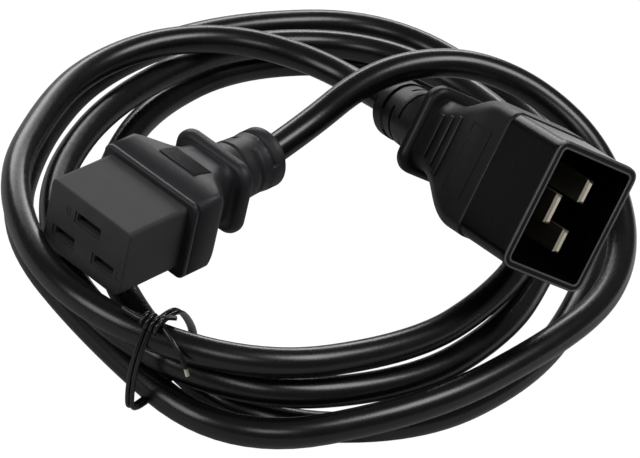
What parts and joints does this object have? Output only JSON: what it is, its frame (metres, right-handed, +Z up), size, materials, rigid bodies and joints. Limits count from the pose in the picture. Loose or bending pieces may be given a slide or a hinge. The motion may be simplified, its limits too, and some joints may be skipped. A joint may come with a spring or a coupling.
{
  "type": "power cord set",
  "caption": "Black appliance power cord set with a rectangular three-slot connector, a shrouded three-blade plug and a round cord coiled and tied with a coated wire.",
  "frame": {"origin": "centre of the connector's mating face", "axes": "-Y out of the mating face, X along its long side, +Z up, towards the earth slot"},
  "size_m": [0.174, 0.1993, 0.0715],
  "materials": {
    "insert_plastic": "fine matte black plastic",
    "grip_plastic": "soft matte black moulded plastic",
    "shroud_plastic": "smooth glossy black plastic",
    "jacket_plastic": "satin black cord jacket",
    "tie_plastic": "black coating on wire",
    "contact_brass": "pale plated brass",
    "conductor_copper": "bare copper strands",
    "line_core": "brown core insulation",
    "neutral_core": "light blue core insulation",
    "earth_core": "green and yellow core insulation"
  },
  "bodies": {
    "root": {"c19_insert": "insert_plastic", "c19_insert_cap": "insert_plastic", "c19_grip": "grip_plastic", "cord_end_c19": "jacket_plastic", "c20_shroud": "shroud_plastic", "c20_insert_cap": "insert_plastic", "c20_grip": "grip_plastic", "cord_end_c20": "jacket_plastic", "cord_jacket": "jacket_plastic", "wire_tie": "tie_plastic", "c19_contact_line": "contact_brass", "c20_blade_line": "contact_brass", "c19_conductor_line": "conductor_copper", "c19_insulation_line": "line_core", "c20_conductor_line": "conductor_copper", "c20_insulation_line": "line_core", "c19_contact_neutral": "contact_brass", "c20_blade_neutral": "contact_brass", "c19_conductor_neutral": "conductor_copper", "c19_insulation_neutral": "neutral_core", "c20_conductor_neutral": "conductor_copper", "c20_insulation_neutral": "neutral_core", "c19_contact_earth": "contact_brass", "c20_blade_earth": "contact_brass", "c19_conductor_earth": "conductor_copper", "c19_insulation_earth": "earth_core", "c20_conductor_earth": "conductor_copper", "c20_insulation_earth": "earth_core"}
  },
  "joints": []
}
